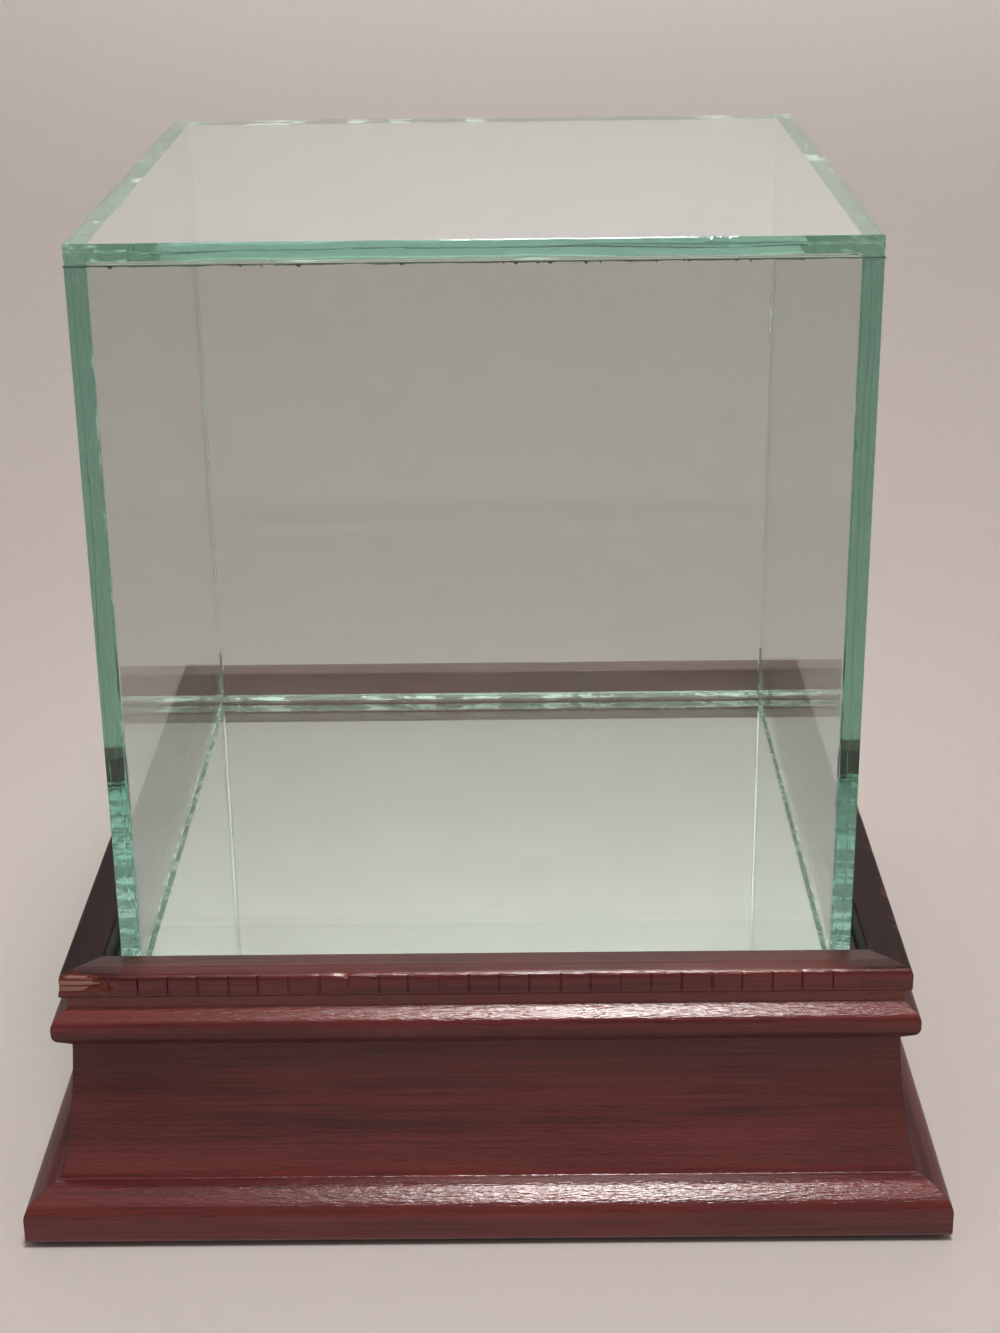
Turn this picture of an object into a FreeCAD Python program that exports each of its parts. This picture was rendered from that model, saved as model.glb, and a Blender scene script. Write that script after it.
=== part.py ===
import FreeCAD, Part
import os
import re
import Sketcher

# Display case for one baseball. A cover of five glued panes stands on a mirror, which lies in a
# mitred wooden base. Lengths are in millimetres. +X points right, +Y back and +Z up, and the
# origin is on the floor under the middle of the base.

SIZES = {
    # glass cover
    "glass_width": 120.0,
    "glass_depth": 120.0,
    "cover_height": 121.0,
    "glass_thickness": 3.0,
    "glass_arris": 0.3,
    "glue_film": 0.15,
    # what lies in the base
    "cover_play": 2.4,
    "recess_depth": 4.8,
    "mirror_thickness": 3.0,
    "board_thickness": 3.0,
    "mirror_gap": 0.4,
    # moulding of the base, from the rim down to the foot
    "base_height": 46.5,
    "rim_width": 6.6,
    "rim_ease": 0.4,
    "bevel_width": 3.0,
    "bevel_drop": 0.4,
    "lip_height": 3.9,
    "lip_round": 1.2,
    "lip_under_round": 0.7,
    "fillet_setback": 1.1,
    "fillet_height": 2.25,
    "bead_reach": 1.5,
    "bead_slope_drop": 1.8,
    "bead_face": 3.05,
    "bead_under_drop": 2.1,
    "bead_round": 1.8,
    "bead_under_round": 2.4,
    "neck_setback": 1.3,
    "cove_radius": 140.0,
    "quirk_height": 1.6,
    "quirk_width": 0.6,
    "quirk_flat": 0.5,
    "corner_ease": 0.4,
    "foot_reach": 7.6,
    "foot_height": 8.0,
    "foot_round": 3.6,
    "foot_ease": 0.6,
    # saw cuts along the lip
    "kerf_pitch": 4.87,
    "kerf_width": 0.7,
    "kerf_depth": 0.55,
    "kerf_length": 3.6,
    "kerf_margin": 7.6,
    # inner side of the moulding and what closes the underside
    "ledge_width": 6.4,
    "panel_rabbet": 4.0,
    "panel_thickness": 3.0,
    "panel_gap": 0.3,
    "block_leg": 18.0,
    "screw_inset": 6.0,
    "screw_diameter": 2.8,
    "screw_head_diameter": 5.6,
    "screw_length": 12.0,
    "screw_point": 3.0,
    "screw_clearance": 0.1,
    "pad_diameter": 12.0,
    "pad_thickness": 0.8,
    "pad_inset": 8.5,
}

doc = FreeCAD.newDocument("display_case")
sheet = doc.addObject("Spreadsheet::Sheet", "Sizes")
for row, (size_name, size) in enumerate(SIZES.items(), start=1):
    sheet.set(f"A{row}", size_name)
    sheet.set(f"B{row}", str(size))
    sheet.setAlias(f"B{row}", size_name)
doc.recompute()

UP = FreeCAD.Vector(0, 0, 1)
OVERRUN = 1.0       # how far a cut runs past the face that it opens
NEAR = 1e-4         # two places closer than this are the same

# Levels above the floor
RIM_Z = "(pad_thickness + base_height)"
MIRROR_Z = f"({RIM_Z} - recess_depth)"
LEDGE_Z = f"({MIRROR_Z} - mirror_thickness - board_thickness)"
WALL_TOP_Z = f"({MIRROR_Z} + cover_height - glass_thickness - glue_film)"
PANEL_TOP_Z = "(pad_thickness + panel_thickness)"

# Distances from the middle: the walls of the recess, the rails' lower inner faces and the foot
OPEN_X = "(glass_width / 2 + cover_play)"
OPEN_Y = "(glass_depth / 2 + cover_play)"
INNER_X = f"({OPEN_X} - ledge_width)"
INNER_Y = f"({OPEN_Y} - ledge_width)"
FOOT_X = f"({OPEN_X} + rim_width + foot_reach)"
FOOT_Y = f"({OPEN_Y} + rim_width + foot_reach)"


def formula(text):
    """Point each size named in a formula at its cell of the sheet."""
    return re.sub(r"\b[a-z]+(?:_[a-z]+)+\b", r"Sizes.\g<0>", text)


def value(text):
    return float(sheet.evalExpression(formula(text)))


def bind(thing, path, text):
    thing.setExpression(path, formula(text))


def place(thing, x, y, z, turn=0):
    """Turn a piece about the upright axis and tie its place to the sheet."""
    thing.Placement = FreeCAD.Placement(FreeCAD.Vector(), FreeCAD.Rotation(UP, turn))
    for axis, text in zip("xyz", (x, y, z)):
        bind(thing, f"Placement.Base.{axis}", text)


def new_body(name):
    body = doc.addObject("PartDesign::Body", name)
    body.Label = name
    return body


def origin_part(body, role):
    return next(part for part in body.Origin.OriginFeatures if part.Role == role)


def new_sketch(body, plane, name, height="0"):
    sketch = body.newObject("Sketcher::SketchObject", name)
    sketch.AttachmentSupport = (origin_part(body, plane), [""])
    sketch.MapMode = "FlatFace"
    if height != "0":
        bind(sketch, "AttachmentOffset.Base.z", height)
    return sketch


def pin(sketch, side, end, axis, text):
    """Hold one end of a side at its distance from the sketch's origin."""
    if text == "0":
        own_axis = -1 if axis == "DistanceY" else -2
        sketch.addConstraint(Sketcher.Constraint("PointOnObject", side, end, own_axis))
        return
    rule = sketch.addConstraint(Sketcher.Constraint(axis, -1, 1, side, end, value(text)))
    bind(sketch, f"Constraints[{rule}]", text)


def hollow_arc(start, end, radius):
    """Arc from end to start, turning left, whose middle sinks into the side."""
    chord = end - start
    middle = (start + end) / 2
    outward = FreeCAD.Vector(chord.y, -chord.x, 0).normalize()
    centre = middle + outward * (radius ** 2 - (chord.Length / 2) ** 2) ** 0.5
    circle = Part.Circle(centre, UP, radius)
    return Part.ArcOfCircle(circle, circle.parameter(end), circle.parameter(start))


def outline(sketch, corners, hollow_side=None, hollow_radius=None):
    """Draw a closed outline through corners given as formulas, counter-clockwise."""
    points = [FreeCAD.Vector(value(x), value(y), 0) for x, y in corners]
    sides = []
    for number, start in enumerate(points):
        end = points[(number + 1) % len(points)]
        if number == hollow_side:
            side = sketch.addGeometry(hollow_arc(start, end, value(hollow_radius)))
            rule = sketch.addConstraint(Sketcher.Constraint("Radius", side, value(hollow_radius)))
            bind(sketch, f"Constraints[{rule}]", hollow_radius)
            sides.append((side, 2, 1))
        else:
            side = sketch.addGeometry(Part.LineSegment(start, end))
            sides.append((side, 1, 2))
    for number, (side, start, end) in enumerate(sides):
        after, after_start, _ = sides[(number + 1) % len(sides)]
        sketch.addConstraint(Sketcher.Constraint("Coincident", side, end, after, after_start))
        pin(sketch, side, start, "DistanceX", corners[number][0])
        pin(sketch, side, start, "DistanceY", corners[number][1])


def circle_at(sketch, x, y, radius):
    centre = FreeCAD.Vector(value(x), value(y), 0)
    ring = sketch.addGeometry(Part.Circle(centre, UP, value(radius)))
    rule = sketch.addConstraint(Sketcher.Constraint("Radius", ring, value(radius)))
    bind(sketch, f"Constraints[{rule}]", radius)
    pin(sketch, ring, 3, "DistanceX", x)
    pin(sketch, ring, 3, "DistanceY", y)


def pad(body, sketch, length, symmetric=False):
    solid = body.newObject("PartDesign::Pad", "Pad")
    solid.Profile = sketch
    solid.SideType = "Symmetric" if symmetric else "One side"
    bind(solid, "Length", length)
    doc.recompute()
    return solid


def pocket(body, sketch, length, upward=False):
    """Cut a sketch into its body, and make sure that it takes something away."""
    before = body.Tip.Shape.Volume
    cut = body.newObject("PartDesign::Pocket", "Pocket")
    cut.Profile = sketch
    cut.Reversed = upward
    bind(cut, "Length", length)
    doc.recompute()
    if cut.Shape.Volume > before - NEAR:
        raise RuntimeError(f"{body.Label}: {sketch.Name} cuts nothing")
    return cut


def edges_where(shape, test):
    return [f"Edge{number}" for number, edge in enumerate(shape.Edges, start=1) if test(edge)]


def chamfer(body, test, size):
    base = body.Tip
    edge_names = edges_where(base.Shape, test)
    bevel = body.newObject("PartDesign::Chamfer", "Chamfer")
    bevel.Base = (base, edge_names)
    bind(bevel, "Size", size)
    doc.recompute()


def round_corner(body, corner, radius):
    """Round the long edge of a moulding that runs through one corner of its profile."""
    u, z = (value(text) for text in corner)

    def runs_through(edge):
        ends = [vertex.Point for vertex in edge.Vertexes]
        return len(ends) == 2 and all(abs(p.x - u) < NEAR and abs(p.z - z) < NEAR for p in ends)

    base = body.Tip
    edge_names = edges_where(base.Shape, runs_through)
    if len(edge_names) != 1:
        raise RuntimeError(f"{body.Label}: no single edge at {corner}")
    bend = body.newObject("PartDesign::Fillet", "Fillet")
    bend.Base = (base, edge_names)
    bind(bend, "Radius", radius)
    doc.recompute()


# Moulding profile: u runs outwards from the rail's lower inner face, and z up from its underside
U_LIP = "(ledge_width + rim_width)"
U_FILLET = f"({U_LIP} - fillet_setback)"
U_BEAD = f"({U_LIP} + bead_reach)"
U_NECK = f"({U_LIP} - neck_setback)"
U_FOOT = f"({U_LIP} + foot_reach)"
U_QUIRK = f"({U_FOOT} - foot_round - quirk_flat)"
Z_LIP = "(base_height - bevel_drop)"
Z_LIP_UNDER = f"({Z_LIP} - lip_height)"
Z_FILLET = f"({Z_LIP_UNDER} - fillet_height)"
Z_BEAD = f"({Z_FILLET} - bead_slope_drop)"
Z_BEAD_UNDER = f"({Z_BEAD} - bead_face)"
Z_NECK = f"({Z_BEAD_UNDER} - bead_under_drop)"
Z_LEDGE = "(base_height - recess_depth - mirror_thickness - board_thickness)"

FOOT_TOE = (U_FOOT, "0")
FOOT_TOP = (U_FOOT, "foot_height")
QUIRK = (U_QUIRK, "foot_height")
COVE_END = (f"{U_QUIRK} - quirk_width", "foot_height + quirk_height")
NECK = (U_NECK, Z_NECK)
BEAD_UNDER = (U_BEAD, Z_BEAD_UNDER)
BEAD_TOP = (U_BEAD, Z_BEAD)
FILLET_FOOT = (U_FILLET, Z_FILLET)
FILLET_TOP = (U_FILLET, Z_LIP_UNDER)
LIP_UNDER = (U_LIP, Z_LIP_UNDER)
LIP_TOP = (U_LIP, Z_LIP)
BEVEL = (f"{U_LIP} - bevel_width", "base_height")
RIM = ("ledge_width", "base_height")
PROFILE = [
    FOOT_TOE, FOOT_TOP, QUIRK, COVE_END, NECK, BEAD_UNDER, BEAD_TOP,
    FILLET_FOOT, FILLET_TOP, LIP_UNDER, LIP_TOP, BEVEL, RIM,
    ("ledge_width", Z_LEDGE), ("0", Z_LEDGE), ("0", "panel_thickness"),
    ("panel_rabbet", "panel_thickness"), ("panel_rabbet", "0"),
]
ROUNDS = [
    (FOOT_TOP, "min(foot_round; foot_height - foot_ease)"),
    (FOOT_TOE, "foot_ease"),
    (QUIRK, "min(corner_ease; quirk_flat)"),
    (NECK, "corner_ease"),
    (BEAD_UNDER, "min(bead_under_round; bead_face)"),
    (BEAD_TOP, "min(bead_round; bead_face)"),
    (FILLET_FOOT, "min(corner_ease; fillet_height / 2)"),
    (LIP_UNDER, "min(lip_under_round; fillet_setback / 2)"),
    (LIP_TOP, "min(lip_round; lip_height / 2)"),
    (RIM, "min(rim_ease; rim_width / 4)"),
]


def rail(name, inner_along, turn, x, y):
    """One length of moulding: profile, rounded edges, saw cuts along the lip, mitred ends."""
    body = new_body(name)
    profile = new_sketch(body, "XZ_Plane", "Profile")
    outline(profile, PROFILE, PROFILE.index(COVE_END), "cove_radius")
    half_length = f"({inner_along} + {U_FOOT})"
    pad(body, profile, f"2 * {half_length}", symmetric=True)
    for corner, radius in ROUNDS:
        round_corner(body, corner, radius)

    lip_half = f"({inner_along} + {U_LIP})"
    kerf_gaps = f"floor(2 * ({lip_half} - kerf_margin) / kerf_pitch)"
    first_kerf = f"(-{kerf_gaps} * kerf_pitch / 2)"
    kerf = new_sketch(body, "XY_Plane", "Kerf", "base_height")
    outline(kerf, [
        (f"{U_LIP} - kerf_depth", first_kerf),
        (f"{U_LIP} + kerf_depth", f"{first_kerf} - kerf_width"),
        (f"{U_LIP} + kerf_depth", f"{first_kerf} + kerf_width"),
    ])
    kerf_cut = pocket(body, kerf, "kerf_length")
    row = body.newObject("PartDesign::LinearPattern", "KerfRow")
    row.Originals = [kerf_cut]
    row.Direction = (origin_part(body, "Y_Axis"), [""])
    row.Mode = "Spacing"
    bind(row, "Offset", "kerf_pitch")
    bind(row, "Occurrences", f"{kerf_gaps} + 1")
    body.Tip = row
    doc.recompute()

    for sign in ("", "-"):
        mitre = new_sketch(body, "XY_Plane", "Mitre")
        ends = [
            (f"-{OVERRUN}", f"{sign}({inner_along} - {OVERRUN})"),
            (f"{U_FOOT} + {OVERRUN}", f"{sign}({half_length} + {OVERRUN})"),
            (f"-{OVERRUN}", f"{sign}({half_length} + {OVERRUN})"),
        ]
        outline(mitre, ends if sign == "" else ends[::-1])
        pocket(body, mitre, f"base_height + {OVERRUN}", upward=True)
    place(body, x, y, "pad_thickness", turn)
    return body


def pane(name, size, corner, is_seamed):
    """A glass plate from its lowest corner, with the chosen edges seamed."""
    width, depth, height = size
    body = new_body(name)
    plan = new_sketch(body, "XY_Plane", "Plan")
    outline(plan, [("0", "0"), (width, "0"), (width, depth), ("0", depth)])
    pad(body, plan, height)
    reach = FreeCAD.Vector(value(width), value(depth), value(height))
    chamfer(body, lambda edge: is_seamed(edge.CenterOfMass, reach), "glass_arris")
    place(body, *corner)
    return body


def plate(name, size, corner):
    slab = doc.addObject("Part::Box", name)
    slab.Label = name
    for side, text in zip(("Length", "Width", "Height"), size):
        bind(slab, side, text)
    place(slab, *corner)
    return slab


def corner_block(name, turn, x, y):
    """Upright glue block, three-cornered in plan, with a pilot hole for its screw."""
    body = new_body(name)
    plan = new_sketch(body, "XY_Plane", "Plan")
    outline(plan, [("-block_leg", "0"), ("0", "-block_leg"), ("0", "0")])
    pad(body, plan, f"{LEDGE_Z} - {PANEL_TOP_Z}")
    pilot = new_sketch(body, "XY_Plane", "Pilot")
    circle_at(pilot, "-screw_inset", "-screw_inset", "screw_diameter / 2 + screw_clearance")
    pocket(body, pilot, "screw_length - panel_thickness + screw_clearance", upward=True)
    place(body, x, y, PANEL_TOP_Z, turn)
    return body


SCREW_X = f"({INNER_X} - screw_inset)"
SCREW_Y = f"({INNER_Y} - screw_inset)"
HEAD_HEIGHT = "(screw_head_diameter / 2 - screw_diameter / 2)"


def bottom_panel():
    """Board that closes the underside, with four countersunk screw holes."""
    body = new_body("bottom_panel")
    half_x = f"({INNER_X} + panel_rabbet - panel_gap)"
    half_y = f"({INNER_Y} + panel_rabbet - panel_gap)"
    plan = new_sketch(body, "XY_Plane", "Plan")
    outline(plan, [
        (f"-{half_x}", f"-{half_y}"), (half_x, f"-{half_y}"), (half_x, half_y), (f"-{half_x}", half_y),
    ])
    pad(body, plan, "panel_thickness")
    holes = new_sketch(body, "XY_Plane", "Holes")
    for x in (f"-{SCREW_X}", SCREW_X):
        for y in (f"-{SCREW_Y}", SCREW_Y):
            circle_at(holes, x, y, "screw_diameter / 2 + screw_clearance")
    pocket(body, holes, f"panel_thickness + {OVERRUN}", upward=True)
    chamfer(body, lambda edge: len(edge.Vertexes) == 1 and abs(edge.CenterOfMass.z) < NEAR, HEAD_HEIGHT)
    place(body, "0", "0", "pad_thickness")
    return body


def panel_screws():
    """Four countersunk wood screws, heads flush with the panel, as one group."""
    body = new_body("panel_screws")
    shape = new_sketch(body, "XZ_Plane", "Shape")
    outline(shape, [
        ("0", "0"),
        ("screw_head_diameter / 2", "0"),
        ("screw_diameter / 2", HEAD_HEIGHT),
        ("screw_diameter / 2", "screw_length - screw_point"),
        ("0", "screw_length"),
    ])
    screw = body.newObject("PartDesign::Revolution", "Screw")
    screw.Profile = shape
    screw.ReferenceAxis = (shape, ["V_Axis"])
    doc.recompute()
    originals = [screw]
    for axis, spacing in (("X_Axis", f"2 * {SCREW_X}"), ("Y_Axis", f"2 * {SCREW_Y}")):
        row = body.newObject("PartDesign::LinearPattern", "Row")
        row.Originals = originals
        row.TransformMode = "Features" if axis == "X_Axis" else "Whole shape"
        row.Direction = (origin_part(body, axis), [""])
        row.Mode = "Spacing"
        row.Occurrences = 2
        bind(row, "Offset", spacing)
        body.Tip = row
        doc.recompute()
        originals = []
    place(body, f"-{SCREW_X}", f"-{SCREW_Y}", "pad_thickness")
    return body


def felt_pad(name, x, y):
    disc = doc.addObject("Part::Cylinder", name)
    disc.Label = name
    bind(disc, "Radius", "pad_diameter / 2")
    bind(disc, "Height", "pad_thickness")
    place(disc, x, y, "0")
    return disc


def top_glue():
    """Ring of adhesive between the top pane and the four walls."""
    half_x = "glass_width / 2"
    half_y = "glass_depth / 2"
    inner_x = "(glass_width - 2 * glass_thickness)"
    inner_y = "(glass_depth - 2 * glass_thickness)"
    whole = plate(
        "film",
        ("glass_width", "glass_depth", "glue_film"),
        (f"-{half_x}", f"-{half_y}", WALL_TOP_Z),
    )
    clear = plate(
        "film_opening",
        (inner_x, inner_y, f"glue_film + 2 * {OVERRUN}"),
        (f"-{inner_x} / 2", f"-{inner_y} / 2", f"{WALL_TOP_Z} - {OVERRUN}"),
    )
    ring = doc.addObject("Part::Cut", "top_glue")
    ring.Label = "top_glue"
    ring.Base = whole
    ring.Tool = clear
    return ring


def glass_cover():
    """Five glued panes. The side walls run the full depth, and the top lies over all."""
    wall_height = f"{WALL_TOP_Z} - {MIRROR_Z}"
    left = "-glass_width / 2"
    right = "glass_width / 2 - glass_thickness"
    front = "-glass_depth / 2"
    back = "glass_depth / 2 - glass_thickness"
    between = f"{left} + glass_thickness + glue_film"
    inner_width = "glass_width - 2 * glass_thickness - 2 * glue_film"
    side_size = ("glass_thickness", "glass_depth", wall_height)
    cross_size = (inner_width, "glass_thickness", wall_height)
    film_size = ("glue_film", "glass_thickness", wall_height)

    def at_foot(middle, reach):
        return middle.z < NEAR

    def left_wall(middle, reach):
        return at_foot(middle, reach) or (middle.x < NEAR and abs(middle.z - reach.z / 2) < NEAR)

    def right_wall(middle, reach):
        return at_foot(middle, reach) or (middle.x > reach.x - NEAR and abs(middle.z - reach.z / 2) < NEAR)

    def lid(middle, reach):
        return middle.z > NEAR

    pieces = [
        pane("left_pane", side_size, (left, front, MIRROR_Z), left_wall),
        pane("right_pane", side_size, (right, front, MIRROR_Z), right_wall),
        pane("front_pane", cross_size, (between, front, MIRROR_Z), at_foot),
        pane("back_pane", cross_size, (between, back, MIRROR_Z), at_foot),
        pane("top_pane", ("glass_width", "glass_depth", "glass_thickness"),
             (left, front, f"{WALL_TOP_Z} + glue_film"), lid),
        top_glue(),
    ]
    for depth_name, y in (("front", front), ("back", back)):
        for side_name, x in (("left", f"{left} + glass_thickness"), ("right", f"{right} - glue_film")):
            pieces.append(plate(f"{depth_name}_{side_name}_glue", film_size, (x, y, MIRROR_Z)))
    return pieces


def base():
    """Mitred rails with the mirror and its board in their rabbet, and the closed underside."""
    board_x = f"({OPEN_X} - mirror_gap)"
    board_y = f"({OPEN_Y} - mirror_gap)"
    board_size = (f"2 * {board_x}", f"2 * {board_y}")
    pieces = [
        rail("right_rail", INNER_Y, 0, INNER_X, "0"),
        rail("back_rail", INNER_X, 90, "0", INNER_Y),
        rail("left_rail", INNER_Y, 180, f"-{INNER_X}", "0"),
        rail("front_rail", INNER_X, 270, "0", f"-{INNER_Y}"),
        plate("mirror", (*board_size, "mirror_thickness"),
              (f"-{board_x}", f"-{board_y}", f"{MIRROR_Z} - mirror_thickness")),
        plate("mirror_board", (*board_size, "board_thickness"), (f"-{board_x}", f"-{board_y}", LEDGE_Z)),
        bottom_panel(),
        panel_screws(),
    ]
    corners = [("back_right", 0, "", ""), ("back_left", 90, "-", ""), ("front_left", 180, "-", "-"),
               ("front_right", 270, "", "-")]
    for name, turn, x_sign, y_sign in corners:
        pieces.append(corner_block(f"{name}_block", turn, f"{x_sign}{INNER_X}", f"{y_sign}{INNER_Y}"))
        pad_x = f"{x_sign}({FOOT_X} - pad_inset)"
        pad_y = f"{y_sign}({FOOT_Y} - pad_inset)"
        pieces.append(felt_pad(f"{name}_pad", pad_x, pad_y))
    return pieces


pieces = glass_cover() + base()
doc.recompute()

for thing in doc.Objects:
    if {"Invalid", "Error"} & set(thing.State):
        raise RuntimeError(f"{thing.Label} failed: {thing.State}")
for piece in pieces:
    if piece.Shape.isNull() or not piece.Shape.isValid():
        raise RuntimeError(f"{piece.Label} has no valid shape")

os.makedirs("parts", exist_ok=True)
for piece in pieces:
    piece.Shape.exportStep(f"parts/{piece.Label}.step")
    box = piece.Shape.BoundBox
    print(f"{piece.Label}: {len(piece.Shape.Solids)} solid, {piece.Shape.Volume:.1f} mm3, "
          f"z {box.ZMin:.2f} to {box.ZMax:.2f}")
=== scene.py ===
# %% [markdown]
# A display case for one ball
#
# The case is two things. A cover of five glued panes of float glass lifts off, and a mitred base of
# moulded wood, stained like mahogany and lacquered, holds the mirror that the cover stands on.
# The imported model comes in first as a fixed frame. Its pieces are in metres, with +Z up, and they
# stay where they are: this script only gives them their looks.

# %% Load the frame
import math
import random

import bpy
from mathutils import Matrix, Vector, noise


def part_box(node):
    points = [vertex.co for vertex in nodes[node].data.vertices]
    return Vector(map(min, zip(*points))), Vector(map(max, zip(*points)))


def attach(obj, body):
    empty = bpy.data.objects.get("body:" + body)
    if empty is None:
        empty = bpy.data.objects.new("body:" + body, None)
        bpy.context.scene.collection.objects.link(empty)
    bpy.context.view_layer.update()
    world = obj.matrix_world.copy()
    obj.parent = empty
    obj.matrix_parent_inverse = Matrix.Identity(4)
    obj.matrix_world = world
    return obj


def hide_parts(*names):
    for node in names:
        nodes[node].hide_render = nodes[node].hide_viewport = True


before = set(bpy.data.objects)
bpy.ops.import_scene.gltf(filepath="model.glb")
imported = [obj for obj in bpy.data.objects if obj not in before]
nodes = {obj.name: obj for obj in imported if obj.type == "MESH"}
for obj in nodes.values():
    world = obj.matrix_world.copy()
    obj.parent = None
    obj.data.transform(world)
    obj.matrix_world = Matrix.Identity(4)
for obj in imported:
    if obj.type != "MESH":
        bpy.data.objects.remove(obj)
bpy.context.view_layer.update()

MM = 0.001
CREASE = math.radians(30)
CORNERS = ("front_left", "front_right", "back_left", "back_right")
scene = bpy.context.scene
scene.view_settings.view_transform = "Standard"

# %% [markdown]
# A few small helpers serve the whole lesson. Colours are written as sRGB hex, as a colour picker
# gives them, and shaders need them linear. A node is added with its settings and its wires in one
# call. Most shapes here are loops of points with a skin between them, and a mesh becomes a piece
# once it rides on a body of the frame.

# %% Helpers


def linear(code, alpha=1.0):
    """Turn an sRGB hex code into linear red, green, blue and alpha."""
    parts = [int(code[i:i + 2], 16) / 255 for i in (0, 2, 4)]
    return [p / 12.92 if p <= 0.04045 else ((p + 0.055) / 1.055) ** 2.4 for p in parts] + [alpha]


def add(tree, kind, settings=None, links=None):
    """Add a node, set its properties and sockets, and wire other nodes' sockets to its inputs."""
    node = tree.nodes.new(kind)
    for key, value in (settings or {}).items():
        if isinstance(key, int) or key in node.inputs:
            node.inputs[key].default_value = value
        else:
            setattr(node, key, value)
    for key, source in (links or {}).items():
        tree.links.new(source, node.inputs[key])
    return node


def new_material(name):
    material = bpy.data.materials.new(name)
    material.use_nodes = True
    material.node_tree.nodes.clear()
    return material, material.node_tree


def box_mm(node):
    """Lowest and highest corner of a node of the frame, in millimetres."""
    low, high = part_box(node)
    return low / MM, high / MM


def skin(rows, around, ring=False, tube=True):
    """Quads between rows of points. A ring joins its last row to the first, a tube closes each row."""
    faces = []
    for row in range(rows if ring else rows - 1):
        here, after = row * around, (row + 1) % rows * around
        for i in range(around if tube else around - 1):
            beside = (i + 1) % around
            faces.append([here + i, after + i, after + beside, here + beside])
    return faces


def caps(rows, around):
    """The two faces that close the ends of a tube."""
    last = (rows - 1) * around
    return [list(range(around)), list(range(last, last + around))[::-1]]


def new_piece(name, points, faces, material, body, slot, *stands_for):
    """Make a mesh piece from points in millimetres, smooth up to its creases, and let it ride on a body."""
    mesh = bpy.data.meshes.new(name)
    mesh.from_pydata([Vector(p) * MM for p in points], [], faces)
    mesh.materials.append(material)
    mesh.shade_smooth()
    mesh.set_sharp_from_angle(angle=CREASE)
    piece = bpy.data.objects.new(name, mesh)
    scene.collection.objects.link(piece)
    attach(piece, body)
    if stands_for:
        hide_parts(*stands_for)
    return piece


def ripple(place, wavelength, seed):
    """Smooth noise between -1 and 1 along a line, with waves of about the given length."""
    return noise.noise(Vector((place / wavelength, 7.31 * seed, 3.17 * seed)))


def dress(name, material):
    """Give a node of the frame its finish."""
    node = nodes[name]
    node.data.materials.clear()
    node.data.materials.append(material)


print("helpers ready")

# %% [markdown]
# The camera was found by fitting the corners of the panes and the moulding to the photograph,
# which is 1000 pixels wide and 1333 high. It stands 39 cm in front of the case's middle and looks down.
# Blender measures the lens against the long side of the picture, here 36 mm of film.

# %% Camera
PICTURE_HEIGHT = 1333
FOCAL_PIXELS = 2264.3
CAMERA_PLACE = Vector((6.03, -388.58, 228.44))
LOOK_DOWN = math.radians(21.864)
LOOK_LEFT = math.radians(0.515)
LEAN = math.radians(-0.767)

camera_data = bpy.data.cameras.new("camera")
camera_data.sensor_width = 36.0
camera_data.lens = FOCAL_PIXELS * camera_data.sensor_width / PICTURE_HEIGHT
camera_data.clip_start = 0.01
camera = bpy.data.objects.new("camera", camera_data)
scene.collection.objects.link(camera)
turn = Matrix.Rotation(LOOK_LEFT, 4, "Z") @ Matrix.Rotation(math.pi / 2 - LOOK_DOWN, 4, "X")
camera.matrix_world = Matrix.Translation(CAMERA_PLACE * MM) @ turn @ Matrix.Rotation(LEAN, 4, "Z")
scene.camera = camera
print(f"lens {camera_data.lens:.2f} mm")

# %% [markdown]
# Float glass is soda-lime glass. Through a face it is almost clear, but the light in a cut edge has
# come the length of the pane, and the iron in the glass has turned it green. That is how it is made
# here: a clear shader, and a volume that absorbs red most. Smears of old dust lie on the faces.
# The seams along an edge are matt, and the lower edges, which were rubbed level on a stone, are
# rough and frosted in spots: light that comes down the pane glints in them. Lamps shine through the
# panes, which Cycles lets them do where the shader is transparent to shadow rays. Cured adhesive
# bends light as the glass does, so where two panes are glued together, no light is bent or thrown
# back: those faces, marked by the attribute "glued", are transparent.

# %% Float glass
GLASS_IOR = 1.52
ABSORPTION_PER_METRE = 15.0
ABSORBED = "9CD8CA"
DUST_SPREAD_MM = 34.0
DUST_FLATTENED = 3.5
STONE_GRIT_MM, STONE_GRIT_DEPTH = 1.1, 0.9
GROUND_SPOT_MM = 7.0

# what a face of a pane mesh is, in its attribute "edge"
FACE, CUT, SEAM, STONE = 0.0, 0.4, 0.5, 1.0


def lamp_lit(tree, shader):
    """The same shader, but lamps shine through it, and all light goes straight through a glued face."""
    clear = add(tree, "ShaderNodeBsdfTransparent", {"Color": linear("F6FAF8")})
    path = add(tree, "ShaderNodeLightPath")
    glued = add(tree, "ShaderNodeAttribute", {"attribute_name": "glued"})
    through = add(tree, "ShaderNodeMath", {"operation": "MAXIMUM"}, {
        0: path.outputs["Is Shadow Ray"], 1: glued.outputs["Fac"],
    })
    return add(tree, "ShaderNodeMixShader", {}, {
        0: through.outputs["Value"], 1: shader, 2: clear.outputs["BSDF"],
    }).outputs["Shader"]


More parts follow.
